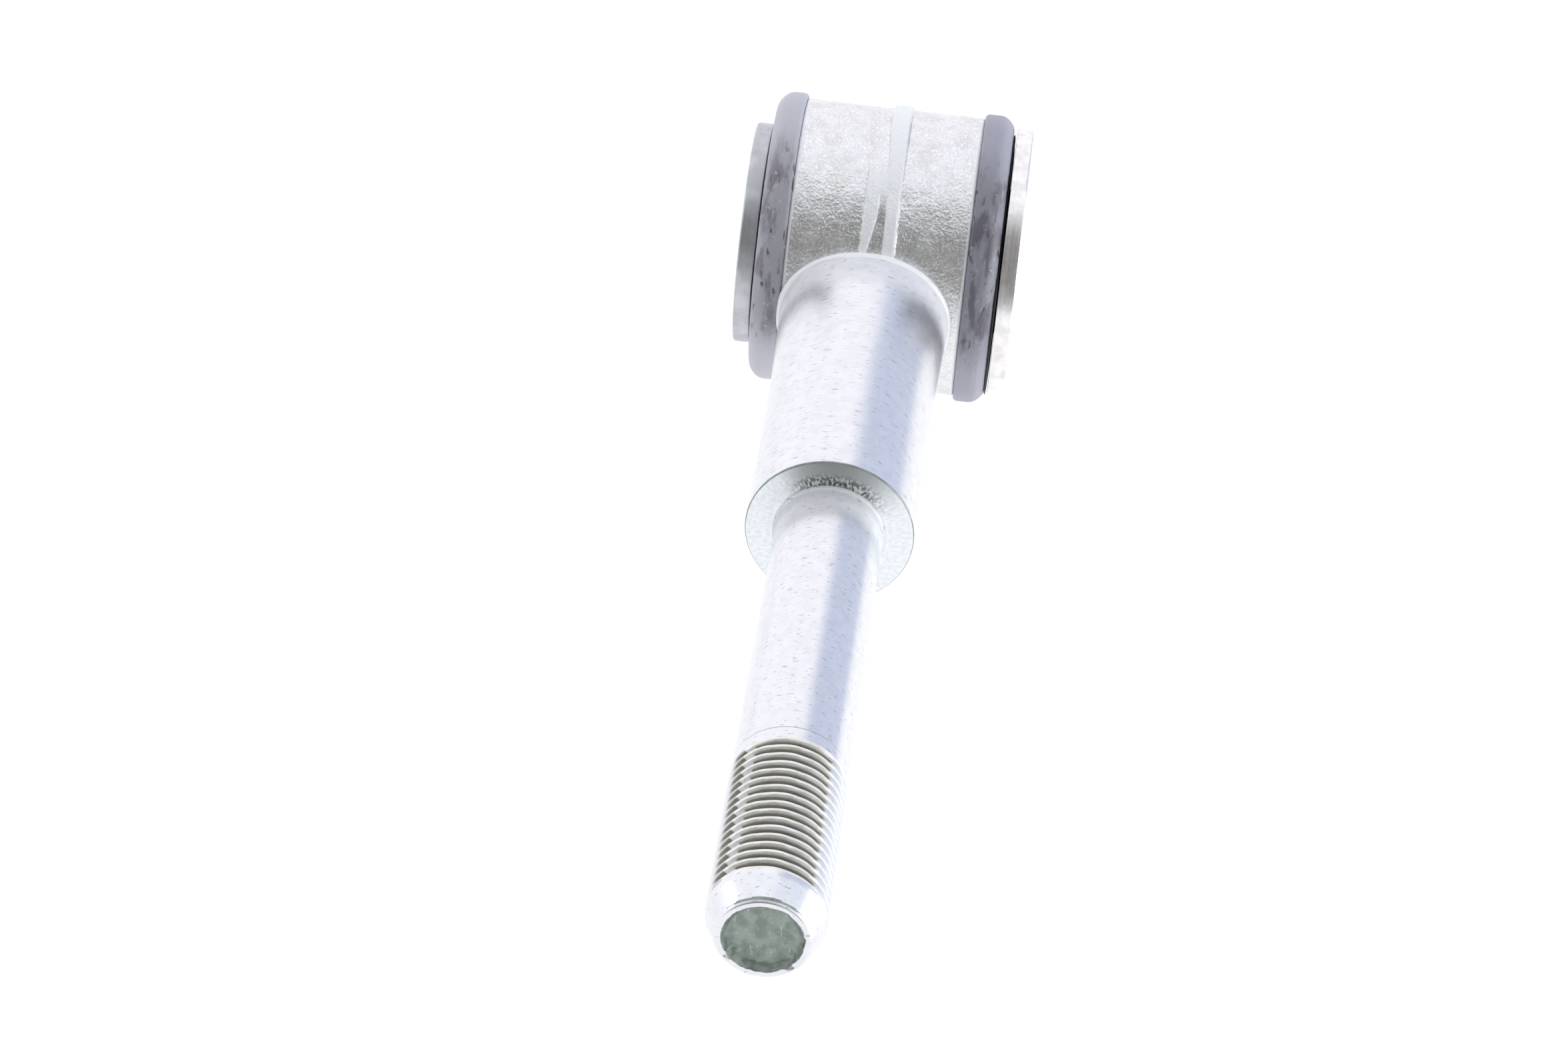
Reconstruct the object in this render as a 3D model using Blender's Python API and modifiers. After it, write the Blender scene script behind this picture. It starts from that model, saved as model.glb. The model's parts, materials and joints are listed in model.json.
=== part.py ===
"""Stabiliser link rod with a rubber-bushed eye, modelled in metres.

Frame: the origin is where the rod's axis crosses the axis of the eye's bore.
+X runs along the rod to its threaded end, +Y along the bore, +Z is up.
"""

import math

import bmesh
import bpy

# Driving dimensions, in millimetres.
ROD_LENGTH = 150.0          # bore axis to the rod's threaded end
SHOULDER_X = 69.7           # bore axis to the shoulder that the mating part seats on
BODY_RADIUS = 10.75         # thick part of the rod, beside the eye
BODY_FLARE_RADIUS = 11.45   # where the thick part runs into the eye
FLARE_START_X = 44.0
SHANK_RADIUS = 6.86
SHANK_FILLET = 0.8
THREAD_RADIUS = 6.98        # M14 x 1.5 outside radius
THREAD_PITCH = 1.5
THREAD_START_X = 121.6
BAND_START_X = 119.4        # plain band between the shank and the thread
LEAD_IN_LENGTH = 3.0
END_RADIUS = 5.68
CUP_RADIUS = 4.85
CUP_DEPTH = 1.1

EYE_RADIUS = 19.3
EYE_FACE_LEFT = -11.6       # the eye sits a little to +Y of the rod's axis
EYE_FACE_RIGHT = 13.0
EYE_EDGE = 0.5
EYE_BORE_RADIUS = 15.5
RIB_RADIUS = 20.0           # flash rib left where the forging dies met
RIB_WIDTH = 4.4
RIB_GROOVE_WIDTH = 1.6
RIB_GROOVE_DEPTH = 0.5

GAP = 0.3                   # left between pieces that touch on the real object
OUTER_SLEEVE_WALL = 1.5
INNER_SLEEVE_RADIUS = 10.0
BOLT_BORE_RADIUS = 6.5
BUFFER_RADIUS = 20.0
BUFFER_ROUND = 1.7
BUFFER_LEFT_END = -15.5
BUFFER_RIGHT_END = 16.95
SEAL_RADIUS = 18.95
SEAL_INNER_RADIUS = 14.0
SEAL_START, SEAL_END = 17.2, 17.7
COLLAR_RADIUS = 15.2
COLLAR_START, COLLAR_END = -15.8, -18.1
DISC_RADIUS = 18.4
DISC_START, DISC_END = 17.95, 19.85
EDGE_ROUND = 0.35

ROD_STEPS = 40
BUSH_STEPS = 48
THREAD_STEPS = 20

MM = 0.001
MERGE = 0.00001

# Object matrices are rotations of a shape turned about +Z.
AXIS_X = (0.0, math.radians(90.0), 0.0)
AXIS_Y = (math.radians(-90.0), 0.0, 0.0)

STEEL_ZINC = ((0.63, 0.65, 0.65), 0.38, 0.9)
STEEL_TURNED = ((0.58, 0.58, 0.56), 0.3, 1.0)
STEEL_TUBE = ((0.45, 0.45, 0.45), 0.4, 1.0)
RUBBER_DARK = ((0.055, 0.052, 0.06), 0.75, 0.0)
RUBBER_CORE = ((0.03, 0.03, 0.032), 0.8, 0.0)


def clear_scene():
    for item in list(bpy.data.objects):
        bpy.data.objects.remove(item)


def new_collection(name):
    collection = bpy.data.collections.new(name)
    bpy.context.scene.collection.children.link(collection)
    return collection


def give_material(piece, name, look):
    colour, roughness, metallic = look
    material = bpy.data.materials.new(name)
    material.use_nodes = True
    shader = material.node_tree.nodes["Principled BSDF"]
    shader.inputs["Base Color"].default_value = (*colour, 1.0)
    shader.inputs["Roughness"].default_value = roughness
    shader.inputs["Metallic"].default_value = metallic
    piece.data.materials.append(material)


def shade_round(piece):
    piece.data.shade_smooth()
    piece.data.set_sharp_from_angle(angle=math.radians(35.0))


def screw(piece, steps, pitch=0.0, turns=1):
    """Turns the piece's profile about its own Z axis; a pitch makes it a helix."""
    modifier = piece.modifiers.new("turn", "SCREW")
    modifier.axis = "Z"
    modifier.angle = math.tau
    modifier.steps = steps
    modifier.render_steps = steps
    modifier.screw_offset = pitch
    modifier.iterations = turns
    modifier.use_merge_vertices = pitch == 0.0
    modifier.merge_threshold = MERGE


def profile_object(name, points, closed, collection):
    """A line of (radius, height) points, in millimetres, in the XZ plane."""
    count = len(points)
    edges = [(i, i + 1) for i in range(count - 1)]
    if closed:
        edges.append((count - 1, 0))
    mesh = bpy.data.meshes.new(name)
    mesh.from_pydata([(r * MM, 0.0, z * MM) for r, z in points], edges, [])
    piece = bpy.data.objects.new(name, mesh)
    collection.objects.link(piece)
    return piece


def baked_mesh(piece):
    """The piece's mesh with its modifiers applied, keeping the piece."""
    graph = bpy.context.evaluated_depsgraph_get()
    mesh = bpy.data.meshes.new_from_object(piece.evaluated_get(graph))
    piece.modifiers.clear()
    piece.data = mesh
    return piece


def turned(name, points, rotation, steps, collection, closed=False):
    """A solid of revolution. The points run down the outer side, from top to bottom."""
    piece = profile_object(name, points, closed, collection)
    screw(piece, steps)
    baked_mesh(piece)
    piece.rotation_euler = rotation
    return piece


def ring_points(inner, outer, low, high, round_low=0.0, round_high=0.0, arc_steps=3):
    """A ring's closed profile with its two outer edges rounded."""
    points = [(inner, high)]
    points += arc(outer - round_high, high - round_high, round_high, 90.0, 0.0, arc_steps)
    points += arc(outer - round_low, low + round_low, round_low, 0.0, -90.0, arc_steps)
    points.append((inner, low))
    return points


def arc(centre_r, centre_z, radius, start, end, steps):
    """Points on an arc, by angle in degrees from the +r direction; one point if it is sharp."""
    if radius == 0.0:
        return [(centre_r, centre_z)]
    points = []
    for i in range(steps + 1):
        angle = math.radians(start + (end - start) * i / steps)
        points.append((centre_r + radius * math.cos(angle), centre_z + radius * math.sin(angle)))
    return points


def boolean(piece, other, operation):
    modifier = piece.modifiers.new(operation.lower(), "BOOLEAN")
    modifier.operation = operation
    modifier.solver = "EXACT"
    modifier.object = other


def make_cutter(piece):
    piece.hide_render = True
    piece.display_type = "WIRE"
    return piece


def rod_profile():
    """Outline of the turned rod from the cupped end back into the eye."""
    lead_in_x = ROD_LENGTH - LEAD_IN_LENGTH
    points = [(0.0, ROD_LENGTH - CUP_DEPTH), (CUP_RADIUS * 0.86, ROD_LENGTH - CUP_DEPTH * 0.9)]
    points += [(CUP_RADIUS, ROD_LENGTH - CUP_DEPTH * 0.4), (CUP_RADIUS, ROD_LENGTH)]
    points += [(END_RADIUS, ROD_LENGTH), (THREAD_RADIUS, lead_in_x)]
    points += [(THREAD_RADIUS, THREAD_START_X), (SHANK_RADIUS + 0.04, BAND_START_X)]
    points.append((SHANK_RADIUS, BAND_START_X - 0.2))
    fillet = arc(SHANK_RADIUS + SHANK_FILLET, SHOULDER_X + SHANK_FILLET, SHANK_FILLET, 180.0, 270.0, 3)
    points += fillet
    points += [(BODY_RADIUS - EDGE_ROUND, SHOULDER_X), (BODY_RADIUS, SHOULDER_X - EDGE_ROUND)]
    points.append((BODY_RADIUS, FLARE_START_X))
    flare_steps = 5
    for i in range(1, flare_steps + 1):
        along = i / flare_steps
        grow = (BODY_FLARE_RADIUS - BODY_RADIUS) * along * along
        points.append((BODY_RADIUS + grow, FLARE_START_X + (EYE_RADIUS - FLARE_START_X) * along))
    points += [(BODY_FLARE_RADIUS, EYE_BORE_RADIUS * 0.6), (0.0, EYE_BORE_RADIUS * 0.6)]
    return points


def thread_groove(collection):
    """Helical V groove, a little deeper than the outside radius so that it cuts clean."""
    depth = 0.6134 * THREAD_PITCH
    outside = THREAD_RADIUS + 0.1
    root = THREAD_RADIUS - depth
    half_root = THREAD_PITCH / 16.0
    half_mouth = half_root + (outside - root) * math.tan(math.radians(30.0))
    start = THREAD_START_X + half_mouth
    section = [(outside, start + half_mouth), (root, start + half_root)]
    section += [(root, start - half_root), (outside, start - half_mouth)]
    turns = math.ceil((ROD_LENGTH - THREAD_START_X) / THREAD_PITCH)
    groove = profile_object("thread_groove", section, True, collection)
    screw(groove, THREAD_STEPS, THREAD_PITCH * MM, turns)
    baked_mesh(groove)
    work = bmesh.new()
    work.from_mesh(groove.data)
    bmesh.ops.remove_doubles(work, verts=work.verts, dist=MERGE)
    open_edges = [edge for edge in work.edges if edge.is_boundary]
    bmesh.ops.holes_fill(work, edges=open_edges, sides=0)
    bmesh.ops.recalc_face_normals(work, faces=work.faces)
    work.to_mesh(groove.data)
    work.free()
    groove.rotation_euler = AXIS_X
    return make_cutter(groove)


def make_link_forging(parts, cutters):
    """Eye, thick rod, shank and thread: one forged piece, turned and zinc plated."""
    forging = turned("link_forging", rod_profile(), AXIS_X, ROD_STEPS, parts)
    eye_points = [(0.0, EYE_FACE_RIGHT), (EYE_RADIUS - EYE_EDGE, EYE_FACE_RIGHT)]
    eye_points += [(EYE_RADIUS, EYE_FACE_RIGHT - EYE_EDGE), (EYE_RADIUS, EYE_FACE_LEFT + EYE_EDGE)]
    eye_points += [(EYE_RADIUS - EYE_EDGE, EYE_FACE_LEFT), (0.0, EYE_FACE_LEFT)]
    eye = make_cutter(turned("eye_drum", eye_points, AXIS_Y, BUSH_STEPS, cutters))
    boolean(forging, eye, "UNION")

    middle = (EYE_FACE_LEFT + EYE_FACE_RIGHT) / 2.0
    root_radius = EYE_RADIUS - 1.0
    half_top = RIB_WIDTH / 2.0 - (RIB_RADIUS - EYE_RADIUS)
    half_root = half_top + RIB_RADIUS - root_radius
    half_groove = RIB_GROOVE_WIDTH / 2.0
    floor_radius = RIB_RADIUS - RIB_GROOVE_DEPTH
    rib_points = [(root_radius, middle + half_root), (RIB_RADIUS, middle + half_top)]
    rib_points += [(floor_radius, middle + half_groove), (floor_radius, middle - half_groove)]
    rib_points += [(RIB_RADIUS, middle - half_top), (root_radius, middle - half_root)]
    rib = make_cutter(turned("flash_rib", rib_points, AXIS_Y, BUSH_STEPS, cutters, closed=True))
    boolean(forging, rib, "UNION")

    beyond = 5.0
    bore_points = [(0.0, EYE_FACE_RIGHT + beyond), (EYE_BORE_RADIUS, EYE_FACE_RIGHT + beyond)]
    bore_points += [(EYE_BORE_RADIUS, EYE_FACE_LEFT - beyond), (0.0, EYE_FACE_LEFT - beyond)]
    bore = make_cutter(turned("eye_bore", bore_points, AXIS_Y, BUSH_STEPS, cutters))
    boolean(forging, bore, "DIFFERENCE")
    boolean(forging, thread_groove(cutters), "DIFFERENCE")
    baked_mesh(forging)
    give_material(forging, "zinc_plated_steel", STEEL_ZINC)
    shade_round(forging)


def make_ring(name, points, look, material_name, parts):
    ring = turned(name, points, AXIS_Y, BUSH_STEPS, parts, closed=True)
    give_material(ring, material_name, look)
    shade_round(ring)


def make_bush(parts):
    """The rubber-metal bush: two steel sleeves, rubber between them, rubber buffers, steel ends."""
    sleeve_outer = EYE_BORE_RADIUS - GAP
    sleeve_inner = sleeve_outer - OUTER_SLEEVE_WALL
    sleeve_low, sleeve_high = EYE_FACE_LEFT + GAP / 2.0, EYE_FACE_RIGHT - GAP / 2.0
    points = ring_points(sleeve_inner, sleeve_outer, sleeve_low, sleeve_high)
    make_ring("outer_sleeve", points, STEEL_TUBE, "sleeve_steel", parts)

    points = ring_points(BOLT_BORE_RADIUS, INNER_SLEEVE_RADIUS, COLLAR_END, DISC_END)
    make_ring("inner_sleeve", points, STEEL_TURNED, "inner_sleeve_steel", parts)

    core_inner = INNER_SLEEVE_RADIUS + GAP
    points = ring_points(core_inner, sleeve_inner - GAP, sleeve_low, sleeve_high)
    make_ring("rubber_core", points, RUBBER_CORE, "core_rubber", parts)

    points = ring_points(core_inner, BUFFER_RADIUS, BUFFER_LEFT_END, EYE_FACE_LEFT - GAP, BUFFER_ROUND, 0.0)
    make_ring("left_buffer", points, RUBBER_DARK, "left_buffer_rubber", parts)
    points = ring_points(core_inner, BUFFER_RADIUS, EYE_FACE_RIGHT + GAP, BUFFER_RIGHT_END, 0.0, BUFFER_ROUND)
    make_ring("right_buffer", points, RUBBER_DARK, "right_buffer_rubber", parts)

    points = ring_points(SEAL_INNER_RADIUS, SEAL_RADIUS, SEAL_START, SEAL_END)
    make_ring("seal_ring", points, RUBBER_CORE, "seal_rubber", parts)

    points = ring_points(core_inner, COLLAR_RADIUS, COLLAR_END, COLLAR_START, EDGE_ROUND, 0.0, 2)
    make_ring("left_collar", points, STEEL_TURNED, "collar_steel", parts)
    points = ring_points(core_inner, DISC_RADIUS, DISC_START, DISC_END, 0.0, EDGE_ROUND, 2)
    make_ring("right_disc", points, STEEL_TURNED, "disc_steel", parts)


def main():
    clear_scene()
    parts = new_collection("stabiliser_link_rod")
    cutters = new_collection("cutters")
    make_link_forging(parts, cutters)
    make_bush(parts)


main()
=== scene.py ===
"""The looks of the stabiliser link rod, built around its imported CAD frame. Everything is in metres."""

import json
import math

import bmesh
import bpy
import numpy as np
from mathutils import Matrix, Vector, noise


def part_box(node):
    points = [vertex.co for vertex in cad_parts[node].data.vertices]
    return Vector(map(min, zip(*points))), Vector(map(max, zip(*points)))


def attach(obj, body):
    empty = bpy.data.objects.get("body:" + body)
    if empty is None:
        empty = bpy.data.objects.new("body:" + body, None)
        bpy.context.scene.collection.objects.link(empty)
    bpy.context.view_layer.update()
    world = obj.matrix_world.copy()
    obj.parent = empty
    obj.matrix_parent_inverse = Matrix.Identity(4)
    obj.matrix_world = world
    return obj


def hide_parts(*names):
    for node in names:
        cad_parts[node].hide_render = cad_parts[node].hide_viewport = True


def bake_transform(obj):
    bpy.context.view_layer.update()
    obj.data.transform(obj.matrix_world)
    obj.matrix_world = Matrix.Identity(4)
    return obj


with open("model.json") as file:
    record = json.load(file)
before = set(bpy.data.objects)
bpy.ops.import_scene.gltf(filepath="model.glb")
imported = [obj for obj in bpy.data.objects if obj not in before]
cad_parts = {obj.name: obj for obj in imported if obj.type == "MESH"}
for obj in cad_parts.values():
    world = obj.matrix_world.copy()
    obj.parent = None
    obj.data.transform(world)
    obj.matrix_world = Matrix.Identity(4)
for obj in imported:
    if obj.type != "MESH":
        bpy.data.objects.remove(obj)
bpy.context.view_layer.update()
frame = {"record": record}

MM = 0.001
X_AXIS, Y_AXIS = "X", "Y"

# Places that the frame gives.
LINK_LOW, LINK_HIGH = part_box("link_forging")
ROD_END = LINK_HIGH.x
RIB_RADIUS = LINK_HIGH.z
RIB_EDGE = 0.16 * MM
FACE_LEFT, FACE_RIGHT = LINK_LOW.y, LINK_HIGH.y
FACE_MIDDLE = (FACE_LEFT + FACE_RIGHT) / 2.0
SHOULDER_X = [m for m in frame["record"]["mounts"] if m["name"] == "rod_shoulder"][0]["pos_m"][0]
EYE_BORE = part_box("outer_sleeve")[1].x + 0.3 * MM

# Sizes of the link's surface.
EYE_RADIUS = 19.3 * MM
BODY_RADIUS = 10.75 * MM
FLARE_RADIUS = 11.45 * MM
FLARE_START = 44.0 * MM
TURNED_END = 20.0 * MM
NECK_RADIUS = 9.6 * MM
LIP_WIDTH = 1.3 * MM
NECK_FLATTENING = 0.085
SHANK_RADIUS = 6.86 * MM
THREAD_RADIUS = 6.98 * MM
THREAD_PITCH = 1.5 * MM
THREAD_DEPTH = 0.92 * MM
CREST_SHARE, FLANK_SHARE = 0.28, 0.64
THREAD_START = 121.6 * MM
THREAD_STOP = 145.9 * MM
BAND_START = 119.4 * MM
CONE_START = 146.4 * MM
END_RADIUS = 5.68 * MM
CUP_RADIUS = 4.7 * MM
CUP_DEPTH = 1.1 * MM
SEAM_MERGE = 0.003 * MM
EYE_COLUMNS = 344
ROD_COLUMNS = 148
ROWS_PER_TURN = 12.0

# Sizes of the bush that the frame's boxes don't give.
RUBBER_BORE = 10.3 * MM
SEAL_BORE = 14.0 * MM
BOLT_BORE = 6.5 * MM
LINER_WALL = 1.5 * MM
TILT_ROOM = 1.3 * MM
RIGHT_BULGE = 0.20 * MM
DISC_LIP = 0.35 * MM

# Bands about the rod where a finish differs, as angles in degrees from +Y towards +Z: the band starts
# at the first, is full from the second to the third, and ends at the fourth.
# On the thread the roots are dark inside the next two bands and on the lower side; elsewhere they are
# painted pale, as painted highlight stripes.
DARK_ROOT_TOP = (38.0, 44.0, 127.0, 130.0)
DARK_ROOT_LEFT = (138.0, 141.0, 152.0, 164.0)
# The thread's side band is a painted highlight: the whole thread is painted pale there.
THREAD_PAINTED_HIGHLIGHT = (-34.0, -24.0, 36.0, 46.0)
# The shoulder band is painted shade: the shoulder's upper face is painted dark there.
SHOULDER_PAINTED_SHADE = (22.0, 66.0, 112.0, 138.0)

# Angles in degrees where a finish starts and where it is full. The first is about the rod, and from there
# the thread's dark root colour reaches higher up the flanks, by the rise that follows. The others are about
# the bore, from +X towards +Z.
DARK_ROOT_WIDENS = (138.0, 142.0)
DARK_ROOT_RISE = 0.26 * MM
# The rubber is painted paler on top and underneath between these angles: a painted sheen.
RUBBER_PAINTED_SHEEN_TOP = (54.0, 82.0)
RUBBER_PAINTED_SHEEN_FOOT = (2.0, -24.0)

# The camera.
AZIMUTH, ELEVATION, ROLL = 92.8415, 35.0721, 5.1452
CAMERA_AIM = (75.338 * MM, -5.527 * MM, 4.746 * MM)
CAMERA_DISTANCE = 581.92 * MM
LENS, SENSOR = 107.143, 36.0


# ---------------------------------------------------------------- mesh tools

def smooth_step(value, low, high):
    t = np.clip((np.asarray(value, float) - low) / (high - low), 0.0, 1.0)
    return t * t * (3.0 - 2.0 * t)


def rounded_path(corners, steps=6):
    """A path of (along, radius) points through corners given as (along, radius, round)."""
    path = []
    for i, (along, radius, size) in enumerate(corners):
        here = np.array([along, radius])
        if size == 0.0 or i in (0, len(corners) - 1):
            path.append(here)
            continue
        before = np.array(corners[i - 1][:2]) - here
        after = np.array(corners[i + 1][:2]) - here
        start = here + before / np.linalg.norm(before) * size
        stop = here + after / np.linalg.norm(after) * size
        for t in np.linspace(0.0, 1.0, steps + 1):
            path.append((1 - t) ** 2 * start + 2 * t * (1 - t) * here + t * t * stop)
    return np.array(path)


def refined(path, longest):
    """The same path with its long stretches cut into pieces no longer than longest."""
    points = [path[0]]
    for a, b in zip(path[:-1], path[1:]):
        count = max(1, math.ceil(np.linalg.norm(b - a) / longest))
        points += [a + (b - a) * k / count for k in range(1, count + 1)]
    return np.array(points)


def around(axis, along, radius, angle):
    """Points at a radius and angle around the X or Y axis; angle 0 is +Z for X and +X for Y."""
    if axis == X_AXIS:
        return np.stack([along, radius * np.sin(angle), radius * np.cos(angle)], -1)
    return np.stack([radius * np.cos(angle), along, radius * np.sin(angle)], -1)


def grid_object(name, points, ring):
    """A closed object from rows of points that wrap round; ring also joins the last row to the first."""
    rows, columns = points.shape[:2]
    row = np.arange(rows if ring else rows - 1)[:, None]
    column = np.arange(columns)[None, :]
    below, beside = (row + 1) % rows, (column + 1) % columns
    corners = [(row, column), (row, beside), (below, beside), (below, column)]
    quads = np.stack(np.broadcast_arrays(*(r * columns + c for r, c in corners)), -1).reshape(-1, 4)
    mesh = bpy.data.meshes.new(name)
    mesh.from_pydata(points.reshape(-1, 3).tolist(), [], quads.tolist())
    work = bmesh.new()
    work.from_mesh(mesh)
    bmesh.ops.remove_doubles(work, verts=work.verts, dist=1e-7)
    bmesh.ops.recalc_face_normals(work, faces=work.faces)
    work.to_mesh(mesh)
    work.free()
    piece = bpy.data.objects.new(name, mesh)
    bpy.context.scene.collection.objects.link(piece)
    return piece


def revolved(name, axis, path, columns, ring=True, shape=None):
    """A turned piece; shape(along, radius, angle) may make its radius uneven."""
    angle = np.linspace(0.0, math.tau, columns, endpoint=False)[None, :]
    along = np.repeat(path[:, 0:1], columns, 1)
    radius = np.repeat(path[:, 1:2], columns, 1)
    if shape:
        radius = shape(along, radius, angle + np.zeros_like(along))
    return grid_object(name, around(axis, along, radius, angle), ring)


def noise_at(points, size, seed=0.0):
    """Perlin noise from about -1 to 1, with features of the given size."""
    shift = Vector((seed, seed * 1.7, seed * 0.6))
    flat = points.reshape(-1, 3) / size
    values = [noise.noise(Vector(p) + shift) for p in flat]
    return np.array(values).reshape(points.shape[:-1])


def shade(piece, degrees=32.0):
    piece.data.shade_smooth()
    piece.data.set_sharp_from_angle(angle=math.radians(degrees))


def join_solids(piece, others):
    """Boolean union of closed solids into piece; the others are removed."""
    for other in others:
        modifier = piece.modifiers.new("join", "BOOLEAN")
        modifier.operation = "UNION"
        modifier.solver = "MANIFOLD"
        modifier.object = other
    graph = bpy.context.evaluated_depsgraph_get()
    mesh = bpy.data.meshes.new_from_object(piece.evaluated_get(graph))
    work = bmesh.new()
    work.from_mesh(mesh)
    bmesh.ops.remove_doubles(work, verts=work.verts, dist=SEAM_MERGE)
    bmesh.ops.triangulate(work, faces=[face for face in work.faces if len(face.verts) > 4])
    bmesh.ops.dissolve_degenerate(work, edges=work.edges, dist=SEAM_MERGE)
    work.to_mesh(mesh)
    work.free()
    piece.modifiers.clear()
    piece.data = mesh
    for other in others:
        bpy.data.objects.remove(other)


# ---------------------------------------------------------------- materials

class Graph:
    """Short calls for building a node tree. A value is a number, a colour or another node's output."""

    def __init__(self, tree):
        self.tree = tree

    def link(self, output, node, socket):
        self.tree.links.new(output, node.inputs[socket])

    def give(self, value, node, socket):
        if isinstance(value, (int, float)):
            node.inputs[socket].default_value = value
        elif isinstance(value, tuple):
            node.inputs[socket].default_value = (*value, 1.0)
        else:
            self.link(value, node, socket)

    def split(self, vector):
        node = self.tree.nodes.new("ShaderNodeSeparateXYZ")
        self.link(vector, node, 0)
        return node.outputs["X"], node.outputs["Y"], node.outputs["Z"]

    def math(self, operation, a, b=None):
        node = self.tree.nodes.new("ShaderNodeMath")
        node.operation = operation
        self.give(a, node, 0)
        if b is not None:
            self.give(b, node, 1)
        return node.outputs[0]

    def remap(self, value, low, high, to_low=0.0, to_high=1.0):
        node = self.tree.nodes.new("ShaderNodeMapRange")
        node.interpolation_type = "SMOOTHSTEP"
        ends = {"From Min": low, "From Max": high, "To Min": to_low, "To Max": to_high}
        for socket, number in ends.items():
            node.inputs[socket].default_value = number
        self.link(value, node, "Value")
        return node.outputs["Result"]

    def mix(self, factor, first, second):
        node = self.tree.nodes.new("ShaderNodeMix")
        node.data_type = "RGBA"
        self.link(factor, node, "Factor")
        self.give(first, node, 6)
        self.give(second, node, 7)
        return node.outputs[2]


class Nodes(Graph):
    """Short calls for building one material's node tree."""

    def __init__(self, name, metallic, roughness):
        self.material = bpy.data.materials.new(name)
        self.material.use_nodes = True
        super().__init__(self.material.node_tree)
        self.shader = self.tree.nodes["Principled BSDF"]
        self.shader.inputs["Metallic"].default_value = metallic
        self.shader.inputs["Roughness"].default_value = roughness
        self.place = self.tree.nodes.new("ShaderNodeTexCoord").outputs["Object"]

    def stretched(self, scale):
        """Object coordinates scaled by a factor on each axis."""
        node = self.tree.nodes.new("ShaderNodeMapping")
        node.inputs["Scale"].default_value = scale
        self.link(self.place, node, "Vector")
        return node.outputs["Vector"]

    def noise(self, size, detail=3.0, vector=None, roughness=0.55):
        """Noise whose features are about size across."""
        node = self.tree.nodes.new("ShaderNodeTexNoise")
        node.inputs["Scale"].default_value = 1.0 / size
        node.inputs["Detail"].default_value = detail
        node.inputs["Roughness"].default_value = roughness
        self.link(vector or self.place, node, "Vector")
        return node.outputs["Fac"]

    def cells(self, size):
        node = self.tree.nodes.new("ShaderNodeTexVoronoi")
        node.inputs["Scale"].default_value = 1.0 / size
        self.link(self.place, node, "Vector")
        return node.outputs["Distance"]

    def polar(self, axis):
        """(distance from the axis, angle about it, distance along it) of the place."""
        along, a, b = self.split(self.place)
        if axis == Y_AXIS:
            a, along = along, a
        squares = self.math("ADD", self.math("MULTIPLY", a, a), self.math("MULTIPLY", b, b))
        return self.math("SQRT", squares), self.math("ARCTAN2", b, a), along

    def combine(self, x, y, z):
        node = self.tree.nodes.new("ShaderNodeCombineXYZ")
        for socket, value in enumerate((x, y, z)):
            self.give(value, node, socket)
        return node.outputs[0]

    def streaks(self, detail, first, first_scale, second, second_scale):
        """Noise over two of a place's polar measures, each with its own scale."""
        flat = self.combine(self.math("MULTIPLY", first, first_scale),
                            self.math("MULTIPLY", second, second_scale), 0.0)
        return self.noise(1.0, detail, flat)

    def sector(self, angle, start, full):
        """Rises from 0 at the start angle to 1 at the full angle, both in degrees."""
        if start < full:
            return self.remap(angle, math.radians(start), math.radians(full))
        return self.remap(angle, math.radians(full), math.radians(start), 1.0, 0.0)

    def band(self, angle, start, full, fading, end):
        """1 from the full to the fading angle, and 0 before the start and after the end."""
        return self.math("MULTIPLY", self.sector(angle, start, full), self.sector(angle, end, fading))

    def colour(self, output):
        self.link(output, self.shader, "Base Color")

    def roughness(self, output):
        self.link(output, self.shader, "Roughness")

    def bump(self, heights):
        """heights is a list of (height output, depth in metres), laid over each other."""
        normal = None
        for height, depth in heights:
            node = self.tree.nodes.new("ShaderNodeBump")
            node.inputs["Strength"].default_value = 1.0
            node.inputs["Distance"].default_value = depth
            self.link(height, node, "Height")
            if normal is not None:
                self.link(normal, node, "Normal")
            normal = node.outputs["Normal"]
        self.link(normal, self.shader, "Normal")


def forged_zinc():
    """Blasted forging skin under bright zinc: fine sparkling grain, and paler on the rib."""
    m = Nodes("forged_zinc", 0.85, 0.30)
    grain = m.noise(0.40 * MM, 3.0, roughness=0.65)
    patches = m.noise(2.2 * MM, 3.0)
    pits = m.cells(0.45 * MM)
    radius, _angle, _along = m.polar(Y_AXIS)
    foot, top = EYE_RADIUS + 0.05 * MM, EYE_RADIUS + 0.60 * MM
    flash = m.remap(radius, foot, top)
    base = m.mix(m.remap(patches, 0.35, 0.65), (0.74, 0.74, 0.73), (0.84, 0.85, 0.87))
    skin = m.mix(m.remap(grain, 0.50, 0.66), base, (0.97, 0.96, 0.92))
    m.colour(m.mix(flash, skin, (0.94, 0.96, 0.97)))
    m.link(m.remap(radius, foot, top, 0.88, 0.10), m.shader, "Metallic")
    m.roughness(m.remap(patches, 0.3, 0.7, 0.18, 0.28))
    m.bump([(patches, 0.06 * MM), (pits, 0.04 * MM), (grain, 0.12 * MM)])
    return m.material


def flash_zinc():
    """Sheared flash and burrs, where the zinc is thick, pale and smooth."""
    m = Nodes("flash_zinc", 0.10, 0.36)
    clouds = m.noise(1.4 * MM, 3.0)
    m.colour(m.mix(m.remap(clouds, 0.35, 0.65), (0.92, 0.94, 0.95), (0.97, 0.98, 0.99)))
    m.roughness(m.remap(clouds, 0.3, 0.7, 0.34, 0.48))
    m.bump([(clouds, 0.05 * MM), (m.noise(0.35 * MM, 3.0), 0.04 * MM)])
    return m.material


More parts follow.
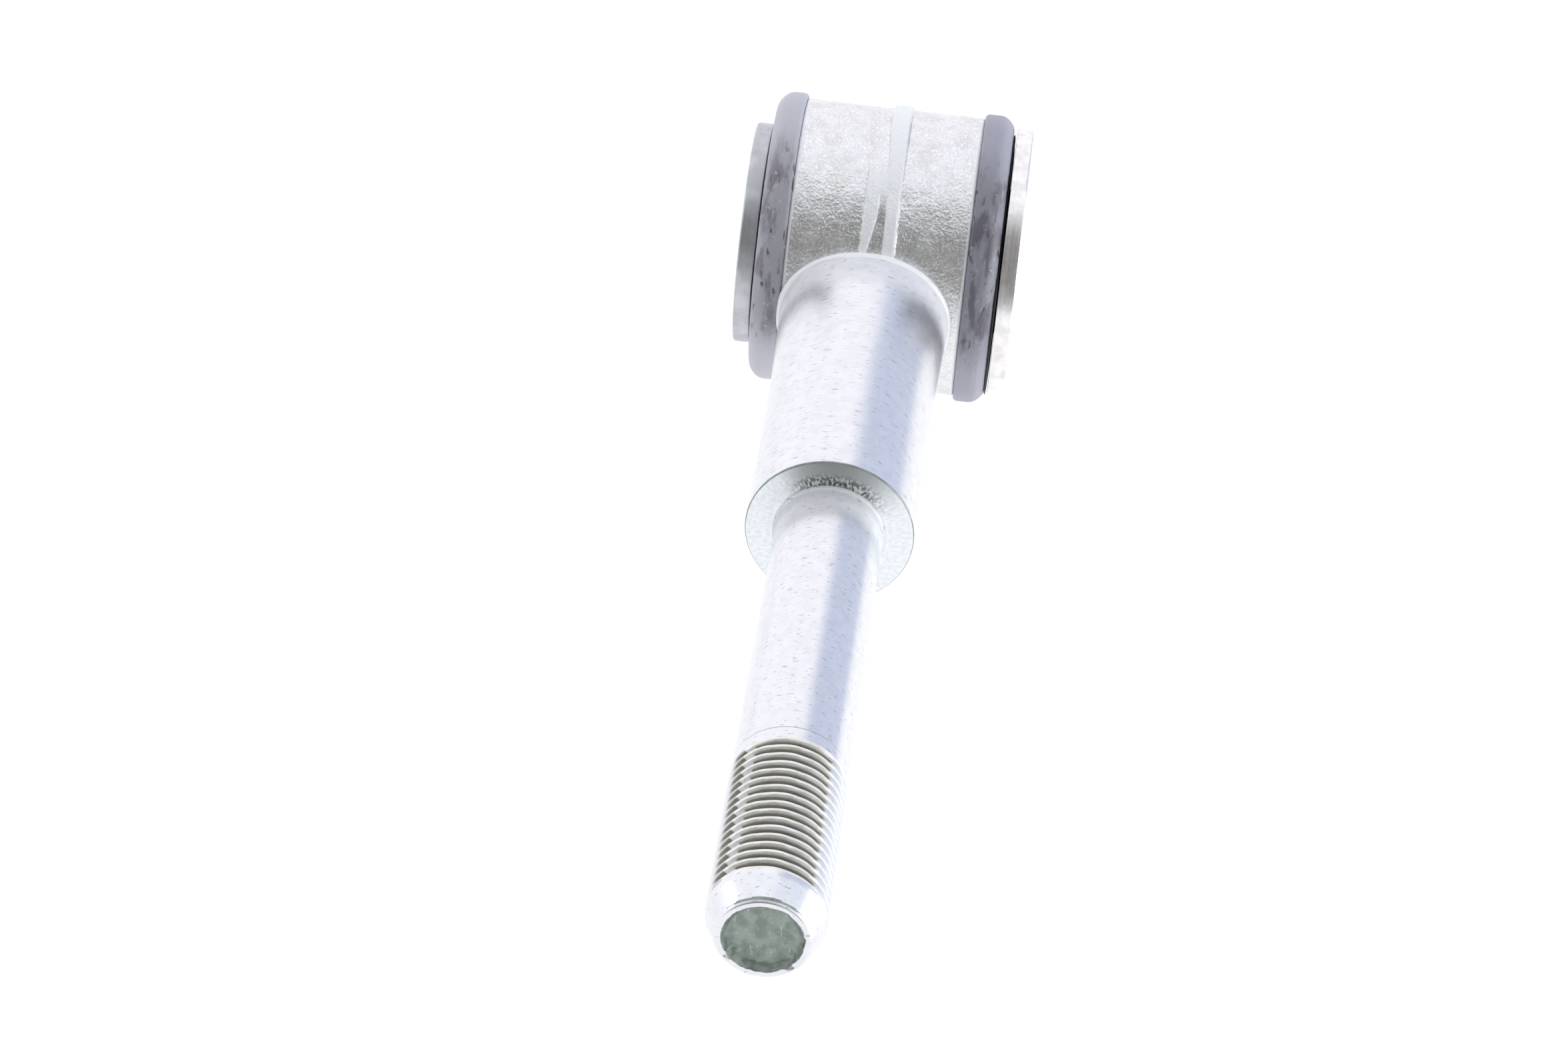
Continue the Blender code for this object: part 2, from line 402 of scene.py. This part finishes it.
def turned_zinc():
    """Smooth turned surface under bright zinc, with faint tool marks around the rod."""
    m = Nodes("turned_zinc", 0.95, 0.22)
    _radius, angle, along = m.polar(X_AXIS)
    marks = m.streaks(2.0, along, 3200.0, angle, 6.0)
    clouds = m.noise(1.6 * MM, 3.0)
    base = m.mix(m.remap(clouds, 0.35, 0.65), (0.79, 0.80, 0.825), (0.84, 0.85, 0.875))
    m.colour(m.mix(m.remap(marks, 0.61, 0.70), base, (0.52, 0.50, 0.50)))
    at_neck = m.remap(along, TURNED_END, TURNED_END + 9.0 * MM, 1.0, 0.0)
    at_fillet = m.math("MULTIPLY", m.remap(along, SHOULDER_X - 0.2 * MM, SHOULDER_X),
                       m.remap(along, SHOULDER_X + 1.0 * MM, SHOULDER_X + 8.0 * MM, 1.0, 0.0))
    dull = m.math("MAXIMUM", at_neck, at_fillet)
    m.roughness(m.remap(dull, 0.0, 1.0, 0.24, 0.58))
    m.link(m.remap(dull, 0.0, 1.0, 0.95, 0.50), m.shader, "Metallic")
    m.bump([(clouds, 0.008 * MM), (marks, 0.006 * MM)])
    return m.material


def thread_zinc():
    """Rolled thread: bright crests and dark, slightly olive roots, with a painted highlight down one side
    and painted highlight stripes where the roots are painted pale.
    """
    m = Nodes("thread_zinc", 0.80, 0.28)
    radius, angle, _along = m.polar(X_AXIS)
    clouds = m.noise(1.6 * MM, 3.0)
    crest = m.mix(m.remap(clouds, 0.4, 0.62), (0.86, 0.85, 0.76), (0.95, 0.95, 0.90))
    low_side = m.math("MULTIPLY", m.sector(angle, *DARK_ROOT_WIDENS), DARK_ROOT_RISE)
    foot, top = THREAD_RADIUS - 0.42 * MM, THREAD_RADIUS - 0.14 * MM
    height = m.remap(m.math("SUBTRACT", radius, low_side), foot, top)
    dark_root = m.math("MAXIMUM", m.band(angle, *DARK_ROOT_TOP), m.band(angle, *DARK_ROOT_LEFT))
    dark_root = m.math("MAXIMUM", dark_root, m.sector(angle, THREAD_PAINTED_HIGHLIGHT[1], THREAD_PAINTED_HIGHLIGHT[0]))
    # Outside the dark-root bands the roots get a pale colour: painted highlight stripes.
    root = m.mix(dark_root, (0.86, 0.88, 0.94), (0.23, 0.22, 0.20))
    flank = m.mix(height, root, crest)
    # The side band paints the whole thread pale: a painted highlight.
    m.colour(m.mix(m.band(angle, *THREAD_PAINTED_HIGHLIGHT), flank, (0.88, 0.91, 0.97)))
    m.link(m.remap(height, 0.0, 1.0, 0.80, 0.40), m.shader, "Metallic")
    m.roughness(m.remap(clouds, 0.3, 0.7, 0.24, 0.34))
    m.bump([(m.noise(0.4 * MM, 3.0), 0.012 * MM)])
    return m.material


def shoulder_zinc():
    """The shoulder's face, with streaks running out from the rod and painted shade on its upper part."""
    m = Nodes("shoulder_zinc", 0.80, 0.38)
    radius, angle, _along = m.polar(X_AXIS)
    streaks = m.streaks(4.0, angle, 24.0, radius, 1500.0)
    pale = m.mix(m.remap(streaks, 0.36, 0.66), (0.84, 0.88, 0.90), (0.95, 0.98, 1.0))
    # The upper band's colours are painted shade, darkest near the rod.
    inner = m.mix(m.remap(streaks, 0.44, 0.58), (0.16, 0.17, 0.16), (0.80, 0.84, 0.82))
    dark = m.mix(m.remap(radius, 7.8 * MM, 9.4 * MM), inner, (0.56, 0.59, 0.58))
    m.colour(m.mix(m.band(angle, *SHOULDER_PAINTED_SHADE), pale, dark))
    m.roughness(m.remap(streaks, 0.3, 0.7, 0.42, 0.32))
    m.shader.inputs["Anisotropic"].default_value = 0.85
    m.shader.inputs["Anisotropic Rotation"].default_value = 0.25
    tangent = m.tree.nodes.new("ShaderNodeTangent")
    tangent.direction_type = "RADIAL"
    tangent.axis = X_AXIS
    m.link(tangent.outputs["Tangent"], m.shader, "Tangent")
    m.bump([(streaks, 0.02 * MM)])
    return m.material


def cropped_end_and_painted_shadow():
    """The cupped end of the bar, duller and greener than the rest. The same finish is laid along the top of
    the rim as a painted shadow arc.
    """
    m = Nodes("cropped_end_and_painted_shadow", 0.55, 0.42)
    stains = m.noise(1.5 * MM, 4.0)
    streaks = m.noise(0.5 * MM, 3.0, m.stretched((1.0, 1.4, 0.35)))
    base = m.mix(m.remap(stains, 0.36, 0.64), (0.24, 0.29, 0.26), (0.36, 0.41, 0.37))
    m.colour(m.mix(m.remap(streaks, 0.60, 0.76), base, (0.55, 0.60, 0.56)))
    m.bump([(stains, 0.12 * MM), (streaks, 0.05 * MM)])
    return m.material


def worn_rubber(name, base, worn):
    """Moulded rubber with scuffed blotches and a chalky bloom, painted paler on top and underneath as a
    painted sheen.
    """
    m = Nodes(name, 0.0, 0.58)
    blotches = m.noise(1.8 * MM, 4.0, m.stretched((0.35, 1.2, 0.35)))
    bloom = m.noise(0.8 * MM, 4.0)
    _radius, angle, along = m.polar(Y_AXIS)
    scratches = m.streaks(3.0, along, 1500.0, angle, 8.0)
    scuffed = m.mix(m.remap(blotches, 0.45, 0.62), worn, base)
    scuffed = m.mix(m.remap(scratches, 0.58, 0.68), scuffed, tuple(c * 0.45 for c in base))
    scuffed = m.mix(m.remap(bloom, 0.60, 0.74), scuffed, tuple(c * 1.35 for c in worn))
    # A painted sheen: paler colour on top and underneath.
    painted_sheen = m.math("MAXIMUM", m.sector(angle, *RUBBER_PAINTED_SHEEN_TOP), m.sector(angle, *RUBBER_PAINTED_SHEEN_FOOT))
    m.colour(m.mix(m.math("MULTIPLY", painted_sheen, 0.9), scuffed, tuple(c * 1.5 for c in worn)))
    m.roughness(m.remap(blotches, 0.3, 0.7, 0.66, 0.48))
    m.shader.inputs["Specular IOR Level"].default_value = 0.8
    m.bump([(blotches, 0.16 * MM), (scratches, 0.08 * MM), (m.noise(0.30 * MM, 3.0), 0.03 * MM)])
    return m.material


def turned_steel(name, base, roughness):
    """Lathe-turned steel, with fine rings about the bush's axis."""
    m = Nodes(name, 0.95, roughness)
    radius, _angle, along = m.polar(Y_AXIS)
    rings = m.streaks(2.0, radius, 9000.0, along, 9000.0)
    clouds = m.noise(3.0 * MM, 3.0)
    bright = tuple(min(1.0, c * 1.25) for c in base)
    m.colour(m.mix(m.remap(clouds, 0.35, 0.65), base, bright))
    m.roughness(m.remap(rings, 0.3, 0.7, roughness * 0.8, roughness * 1.25))
    m.bump([(rings, 0.012 * MM), (clouds, 0.04 * MM)])
    return m.material


# ---------------------------------------------------------------- the link

def rib_height(along, angle):
    """Flash left where the dies met: a long wide lobe, and beside it a short narrow one."""
    turn = np.abs(np.arctan2(np.sin(angle), np.cos(angle)))
    across = along - FACE_MIDDLE

    def lobe(low, high):
        return smooth_step(across, low - RIB_EDGE, low + RIB_EDGE) * (
            1.0 - smooth_step(across, high - RIB_EDGE, high + RIB_EDGE))

    upward = smooth_step(turn, math.radians(35.0), math.radians(100.0))
    wide = lobe((0.65 - 0.95 * upward) * MM, 2.35 * MM)
    drawn_in = smooth_step(turn, math.radians(22.0), math.radians(46.0))
    filled = smooth_step(turn, math.radians(40.0), math.radians(56.0))
    narrow = np.maximum(lobe(-2.35 * MM, (-1.6 + 1.2 * drawn_in) * MM), lobe(-2.35 * MM, 1.0 * MM) * filled)
    narrow = narrow * (1.0 - smooth_step(turn, math.radians(50.0), math.radians(78.0)))
    return (RIB_RADIUS - EYE_RADIUS) * np.maximum(wide * (1.0 - 0.25 * upward), narrow)


def eye_shape(along, radius, angle):
    """Die draft, flash rib and forged unevenness on the eye's outside."""
    outside = radius > EYE_RADIUS - 1.2 * MM
    points = around(Y_AXIS, along, radius, angle)
    lumps = noise_at(points, 3.0 * MM, 4.0) * 0.05 * MM + noise_at(points, 0.9 * MM, 9.0) * 0.035 * MM
    face = np.minimum(along - FACE_LEFT, FACE_RIGHT - along)
    inland = smooth_step(face, 0.2 * MM, 1.0 * MM)
    return radius + outside * inland * (lumps - 0.05 * MM + rib_height(along, angle))


def make_eye():
    """The eye's wall, with close rows under the rib."""
    coarse, fine, edge = 0.36 * MM, 0.13 * MM, 0.45 * MM
    rib_low, rib_high = FACE_MIDDLE - 2.9 * MM, FACE_MIDDLE + 2.9 * MM
    left = [(FACE_LEFT, EYE_BORE, 0.0), (FACE_LEFT, EYE_RADIUS, edge), (rib_low, EYE_RADIUS, 0.0)]
    right = [(rib_high, EYE_RADIUS, 0.0), (FACE_RIGHT, EYE_RADIUS, edge), (FACE_RIGHT, EYE_BORE, 0.0)]
    rib = refined(np.array([(rib_low, EYE_RADIUS), (rib_high, EYE_RADIUS)]), fine)[1:-1]
    left, right = (refined(rounded_path(corners), coarse) for corners in (left, right))
    path = np.concatenate([left, rib, right])
    return revolved("eye", Y_AXIS, path, EYE_COLUMNS, shape=eye_shape)


def thread_drop(x, angle):
    """Depth of the helical groove below the crest at a place along and around the stud."""
    phase = np.mod((x - THREAD_START) / THREAD_PITCH - angle / math.tau, 1.0)
    flank = 1.0 - np.abs(phase - 0.5) * 2.0
    groove = np.clip((flank - CREST_SHARE) / FLANK_SHARE, 0.0, 1.0)
    fade_in = smooth_step(x, THREAD_START - 0.2 * MM, THREAD_START + 0.9 * MM)
    fade_out = 1.0 - smooth_step(x, THREAD_STOP - 0.8 * MM, THREAD_STOP)
    return THREAD_DEPTH * groove * fade_in * fade_out


def rod_path():
    """Outline of the rod from the middle of its cupped end to the eye."""
    body = [(ROD_END - CUP_DEPTH, 0.0, 0.0), (ROD_END - 0.85 * CUP_DEPTH, CUP_RADIUS * 0.9, 0.5 * MM)]
    body += [(ROD_END - 0.05 * MM, CUP_RADIUS, 0.12 * MM), (ROD_END, END_RADIUS - 0.3 * MM, 0.12 * MM)]
    body += [(ROD_END - 0.45 * MM, END_RADIUS + 0.05 * MM, 0.3 * MM), (CONE_START, THREAD_RADIUS, 0.5 * MM)]
    body += [(THREAD_START, THREAD_RADIUS, 0.0), (BAND_START, SHANK_RADIUS + 0.05 * MM, 0.06 * MM)]
    body += [(BAND_START - 0.12 * MM, SHANK_RADIUS, 0.06 * MM), (SHOULDER_X, SHANK_RADIUS, 0.9 * MM)]
    body += [(SHOULDER_X, BODY_RADIUS, 0.28 * MM), (FLARE_START, BODY_RADIUS, 0.0)]
    flare = np.append(np.linspace(0.0, 1.0, 13)[1:-1], [0.994, 1.0])
    x = FLARE_START + (TURNED_END - FLARE_START) * flare
    flared = np.stack([x, BODY_RADIUS + (FLARE_RADIUS - BODY_RADIUS) * flare ** 1.6], -1)
    neck = [(TURNED_END, FLARE_RADIUS, 0.0), (TURNED_END - LIP_WIDTH, FLARE_RADIUS - 0.05 * MM, 0.2 * MM)]
    neck += [(TURNED_END - LIP_WIDTH - 1.2 * MM, NECK_RADIUS, 0.8 * MM), (10.0 * MM, NECK_RADIUS, 0.0)]
    return np.concatenate([rounded_path(body), flared, refined(rounded_path(neck), 0.12 * MM)[1:]])


def lip_height(x, angle):
    """Bead left where the turning tool stopped: thick at the sides, gone at the top and underneath."""
    side = np.abs(np.sin(angle)) ** 1.2
    thick = np.where(np.sin(angle) < 0.0, 0.62, 0.42) * MM * side
    from_middle = (x - (TURNED_END - LIP_WIDTH / 2.0)) / (LIP_WIDTH / 2.0)
    return thick * np.sqrt(np.maximum(0.0, 1.0 - from_middle ** 2))


def rod_rows():
    """The rod's outline with close rows along the thread."""
    path = refined(rod_path(), 1.2 * MM)
    threaded = np.arange(THREAD_STOP, THREAD_START - 0.3 * MM, -THREAD_PITCH / ROWS_PER_TURN)
    ordered = path[path[:, 0] < ROD_END - 0.4 * MM][::-1]
    outline = np.interp(threaded, ordered[:, 0], ordered[:, 1])
    before = path[path[:, 0] > THREAD_STOP]
    after = path[path[:, 0] < threaded[-1]]
    return np.concatenate([before, np.stack([threaded, outline], -1), after])


def make_rod():
    """One closed skin: chipped cup, thread, shank, shoulder, body and neck, capped inside the eye's wall."""
    angle = np.linspace(0.0, math.tau, ROD_COLUMNS, endpoint=False)[None, :]
    wall = (EYE_BORE + EYE_RADIUS) / 2.0
    rows = rod_rows()
    rows = rows[rows[:, 0] > wall]
    x = rows[:, 0:1] + 0.0 * angle
    flatter = NECK_FLATTENING * smooth_step(-x, -FLARE_START, -TURNED_END) * np.cos(angle) ** 2
    radius = rows[:, 1:2] * (1.0 - flatter) + lip_height(x, angle)
    threaded = (x <= THREAD_STOP) & (x > THREAD_START - 0.4 * MM)
    lost = np.maximum(0.0, THREAD_RADIUS - radius)
    radius = radius - threaded * np.maximum(0.0, thread_drop(x, angle) - lost)
    cap_radius = radius[-1:] * np.array([1.0, 0.8, 0.55, 0.3, 0.0])[:, None]
    cap_x = np.sqrt(wall ** 2 - (cap_radius * np.cos(angle)) ** 2)
    points = around(X_AXIS, x, radius, angle)
    chipped = (x > ROD_END - CUP_DEPTH - 0.2 * MM) & (radius < CUP_RADIUS + 0.3 * MM)
    chips = noise_at(points, 1.6 * MM, 2.0) + 0.5 * noise_at(points, 0.6 * MM, 6.0)
    scale = 1.0 + 0.06 * chipped * chips * radius / CUP_RADIUS
    points = around(X_AXIS, x - chipped * np.abs(chips) * 0.22 * MM, radius * scale, angle)
    cap = around(X_AXIS, cap_x, cap_radius, angle)
    return grid_object("forged_link", np.concatenate([points, cap]), False)


FINISHES = (forged_zinc, turned_zinc, thread_zinc, shoulder_zinc, cropped_end_and_painted_shadow, flash_zinc)
FORGED, TURNED, THREAD, SHOULDER, CUP_AND_PAINTED_SHADOW, FLASH = range(6)


def region(centre, normal):
    """Which of the link's finishes a face has, by where it is."""
    from_rod_axis = math.hypot(centre.y, centre.z)
    from_bore_axis = math.hypot(centre.x, centre.z)
    from_face = (FACE_RIGHT - FACE_LEFT) / 2.0 - abs(centre.y - FACE_MIDDLE)
    on_eye = from_bore_axis < EYE_RADIUS + 0.5 * (RIB_RADIUS - EYE_RADIUS)
    if centre.x > ROD_END - CUP_DEPTH - 0.2 * MM:
        inside = from_rod_axis < CUP_RADIUS + 0.1 * MM
        # Along the top of the rim the end's dark finish is laid as a painted shadow arc.
        upper = min(1.0, centre.z / END_RADIUS - 0.6) / 0.3
        rounded = abs(from_rod_axis - END_RADIUS) < 0.08 * MM * upper
        return CUP_AND_PAINTED_SHADOW if inside or rounded else TURNED
    if THREAD_START - 0.3 * MM < centre.x < THREAD_STOP:
        return THREAD
    if abs(centre.x - BAND_START) < 0.13 * MM:
        return CUP_AND_PAINTED_SHADOW
    at_rim = from_rod_axis > BODY_RADIUS - 0.14 * MM and normal.x > 0.05
    if abs(centre.x - SHOULDER_X) < 0.3 * MM and at_rim:
        return CUP_AND_PAINTED_SHADOW
    if abs(centre.x - SHOULDER_X) < 0.12 * MM and normal.x > 0.8:
        return SHOULDER
    if centre.x > TURNED_END - 0.02 * MM:
        return TURNED
    if on_eye and from_face < 0.4 * MM:
        return FLASH if from_bore_axis > EYE_RADIUS - 0.6 * MM else TURNED
    if from_bore_axis < EYE_BORE + 0.1 * MM:
        return TURNED
    return FORGED if centre.x < TURNED_END - LIP_WIDTH or on_eye else FLASH


def make_link():
    link = make_rod()
    join_solids(link, [make_eye()])
    link.data.materials.clear()
    for make_finish in FINISHES:
        link.data.materials.append(make_finish())
    for face in link.data.polygons:
        face.material_index = region(face.center, face.normal)
    shade(link)
    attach(link, "link")
    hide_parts("link_forging")


# ---------------------------------------------------------------- the bush

def ring_piece(name, node, corners, material, columns=200, longest=0.6 * MM, shape=None):
    """A turned ring about the bore, from its corner points, that stands for a CAD node."""
    piece = revolved(name, Y_AXIS, refined(rounded_path(corners), longest), columns, shape=shape)
    piece.data.materials.append(material)
    shade(piece)
    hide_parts(node)
    return piece


def edges_of(node):
    low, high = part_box(node)
    return low.y, high.y, high.x


def uneven_rubber(along, radius, angle):
    """Moulded rubber that is squeezed a little unevenly."""
    points = around(Y_AXIS, along, radius, angle)
    outside = smooth_step(radius, 17.0 * MM, 19.5 * MM)
    return radius + outside * (noise_at(points, 5.0 * MM, 3.0) * 0.10 - 0.07) * MM


def make_buffer(side, material):
    """A rubber flange, flat against the eye and rounded away from it. The bore leaves room for the tilt."""
    node = side + "_buffer"
    low, high, outer = edges_of(node)
    bulge = 0.0 if side == "left" else RIGHT_BULGE
    eye_side, far_side = (FACE_LEFT, low) if side == "left" else (FACE_RIGHT, high + bulge)
    out = math.copysign(1.0, far_side - eye_side)
    corners = [(eye_side, RUBBER_BORE + TILT_ROOM, 0.0), (eye_side, outer - 0.35 * MM, 0.15 * MM)]
    corners += [(eye_side + out * 0.35 * MM, outer, 0.25 * MM), (far_side - out * 1.3 * MM, outer, 0.9 * MM)]
    corners.append((far_side, outer - 1.4 * MM, 0.7 * MM))
    if bulge:
        corners += [(far_side, outer - 2.5 * MM, 0.3 * MM), (far_side - bulge, outer - 2.9 * MM, 0.1 * MM)]
    corners.append((far_side - bulge, RUBBER_BORE, 0.0))
    piece = ring_piece(node + "_rubber", node, corners, material, 260, 0.4 * MM, uneven_rubber)
    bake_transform(piece)


def sunken_lip(_along, radius, angle):
    """The lip is squeezed out on the lower side and lies deeper on the upper one."""
    upper = smooth_step(np.sin(angle), math.sin(math.radians(15.0)), math.sin(math.radians(38.0)))
    return radius - (radius > 16.0 * MM) * upper * 1.1 * MM


def make_seal(material):
    low, high, outer = edges_of("seal_ring")
    low, high = low - 0.05 * MM, high - 0.15 * MM
    corners = [(low, SEAL_BORE, 0.0), (low, outer - 0.5 * MM, 0.2 * MM)]
    corners += [(low + 0.2 * MM, outer - 0.3 * MM, 0.1 * MM), (high - 0.1 * MM, outer - 1.1 * MM, 0.2 * MM)]
    corners.append((high, SEAL_BORE, 0.0))
    seal = ring_piece("seal_lip", "seal_ring", corners, material, shape=sunken_lip)
    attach(seal, "inner_metal")


def make_collar(material):
    low, high, outer = edges_of("left_collar")
    corners = [(high, RUBBER_BORE, 0.0), (high, outer, 0.15 * MM), (low, outer, 0.35 * MM)]
    corners += [(low, RUBBER_BORE, 0.15 * MM), (low + 0.3 * MM, RUBBER_BORE, 0.0)]
    collar = ring_piece("steel_collar", "left_collar", corners, material)
    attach(collar, "inner_metal")


def make_disc(material):
    """The disc, which comes a little closer to the flange than the CAD's does."""
    low, high, outer = edges_of("right_disc")
    low -= DISC_LIP
    corners = [(low, RUBBER_BORE, 0.0), (low, outer, 0.12 * MM), (high, outer, 0.3 * MM)]
    corners += [(high, RUBBER_BORE, 0.15 * MM), (high - 0.3 * MM, RUBBER_BORE, 0.0)]
    disc = ring_piece("steel_disc", "right_disc", corners, material)
    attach(disc, "inner_metal")


def make_sleeves(material):
    low, high, outer = edges_of("inner_sleeve")
    middle = (BOLT_BORE + outer) / 2.0
    corners = [(low, middle, 0.0), (low, outer, 0.3 * MM), (high, outer, 0.3 * MM)]
    corners += [(high, BOLT_BORE, 0.5 * MM), (low, BOLT_BORE, 0.5 * MM), (low, middle, 0.0)]
    path = refined(rounded_path(corners)[:-1], 1.5 * MM)
    sleeve = revolved("bolt_sleeve", Y_AXIS, path, 160)
    sleeve.data.materials.append(material)
    shade(sleeve)
    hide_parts("inner_sleeve")
    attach(sleeve, "inner_metal")

    low, high, outer = edges_of("outer_sleeve")
    inner = outer - LINER_WALL
    corners = [(low, inner, 0.2 * MM), (low, outer, 0.3 * MM), (high, outer, 0.3 * MM), (high, inner, 0.0)]
    liner = ring_piece("eye_liner", "outer_sleeve", corners, material, 120, 2.0 * MM)
    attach(liner, "link")


def make_core(material):
    """The rubber between the sleeves, drawn in towards its two ends."""
    low, high, outer = edges_of("rubber_core")
    waist = outer - 1.0 * MM
    near_low, near_high = (0.25 * end + 0.75 * FACE_MIDDLE for end in (low, high))
    corners = [(low, RUBBER_BORE, 0.0), (low + 0.8 * MM, waist, 0.5 * MM), (near_low, outer, 2.0 * MM)]
    corners += [(near_high, outer, 2.0 * MM), (high - 0.8 * MM, waist, 0.5 * MM), (high, RUBBER_BORE, 0.0)]
    core = ring_piece("core_rubber", "rubber_core", corners, material, 120, 1.5 * MM)
    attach(core, "bush_rubber")


def make_bush():
    dark_rubber = worn_rubber("inner_rubber", (0.020, 0.020, 0.022), (0.035, 0.034, 0.036))
    sleeve_steel = turned_steel("sleeve_steel", (0.50, 0.50, 0.51), 0.30)
    make_buffer("left", worn_rubber("left_rubber", (0.195, 0.186, 0.218), (0.370, 0.370, 0.410)))
    # The right flange is the same rubber as the left; its darker colours are painted shade.
    make_buffer("right", worn_rubber("right_rubber", (0.115, 0.110, 0.142), (0.250, 0.250, 0.295)))
    make_seal(dark_rubber)
    make_collar(turned_steel("collar_steel", (0.49, 0.50, 0.52), 0.42))
    make_disc(turned_steel("disc_steel", (0.78, 0.76, 0.75), 0.28))
    make_sleeves(sleeve_steel)
    make_core(dark_rubber)


# ---------------------------------------------------------------- the studio

def make_floor():
    bpy.ops.mesh.primitive_plane_add(size=1.4, location=(0.0, 0.0, -0.09))
    floor = bpy.context.object
    floor.name = "floor"
    m = Nodes("floor_white", 0.0, 0.9)
    m.colour(m.mix(m.noise(0.2, 2.0), (0.50, 0.50, 0.50), (0.52, 0.52, 0.52)))
    m.shader.inputs["Emission Color"].default_value = (1.0, 1.0, 1.0, 1.0)
    m.shader.inputs["Emission Strength"].default_value = 0.60
    m.shader.inputs["Specular IOR Level"].default_value = 0.1
    floor.data.materials.append(m.material)


def make_sky():
    """A surround that is bright behind the part and dim in front of it, and looks white itself."""
    world = bpy.data.worlds.new("studio")
    bpy.context.scene.world = world
    world.use_nodes = True
    sky = Graph(world.node_tree)
    x, y, z = sky.split(sky.tree.nodes.new("ShaderNodeTexCoord").outputs["Generated"])
    behind = sky.mix(sky.remap(y, 0.10, 0.32), (1.12, 1.11, 1.16), (0.64, 0.69, 0.86))
    back = sky.mix(sky.remap(x, -0.45, 0.05), behind, (1.06, 1.08, 1.14))
    ahead = sky.mix(sky.remap(y, 0.15, 0.50), (0.23, 0.23, 0.225), (0.50, 0.50, 0.50))
    front = sky.mix(sky.remap(z, -0.10, 0.24), (0.34, 0.34, 0.35), ahead)
    whole = sky.mix(sky.remap(x, 0.22, 0.58), back, front)
    seen = sky.tree.nodes.new("ShaderNodeLightPath").outputs["Is Camera Ray"]
    sky.link(sky.mix(seen, whole, (1.0, 1.0, 1.0)), sky.tree.nodes["Background"], "Color")


def make_light(name, place, size, watts):
    """A soft strip at one side, aimed at the thread."""
    data = bpy.data.lights.new(name, "AREA")
    data.shape = "RECTANGLE"
    data.size, data.size_y = size
    data.energy = watts
    light = bpy.data.objects.new(name, data)
    bpy.context.scene.collection.objects.link(light)
    light.location = place
    target = Vector((THREAD_START + 12.0 * MM, 0.0, 0.0))
    light.rotation_euler = (target - light.location).to_track_quat("-Z", "Y").to_euler()
    light.visible_camera = False


def make_camera():
    """A long lens looking down the rod from its threaded end."""
    azimuth, elevation, roll = (math.radians(a) for a in (AZIMUTH, ELEVATION, ROLL))
    back = Vector((math.sin(azimuth), -math.cos(azimuth), 0.0)) * math.cos(elevation)
    back.z = math.sin(elevation)
    side = Vector((0.0, 0.0, 1.0)).cross(back).normalized()
    up = back.cross(side)
    right = side * math.cos(roll) + up * math.sin(roll)
    up = back.cross(right)
    place = Vector(CAMERA_AIM) + back * CAMERA_DISTANCE
    data = bpy.data.cameras.new("camera")
    data.sensor_width = SENSOR
    data.lens = LENS
    data.clip_start = 0.01
    camera = bpy.data.objects.new("camera", data)
    bpy.context.scene.collection.objects.link(camera)
    axes = Matrix((right, up, back)).transposed().to_4x4()
    camera.matrix_world = Matrix.Translation(place) @ axes
    bpy.context.scene.camera = camera


make_link()
make_bush()
make_floor()
make_sky()
make_light("left_strip", (0.10, -0.465, 0.165), (0.20, 0.05), 0.13)
make_light("right_strip", (0.04, 0.50, 0.04), (0.40, 0.20), 1.2)
make_camera()
bpy.context.scene.view_settings.view_transform = "Standard"
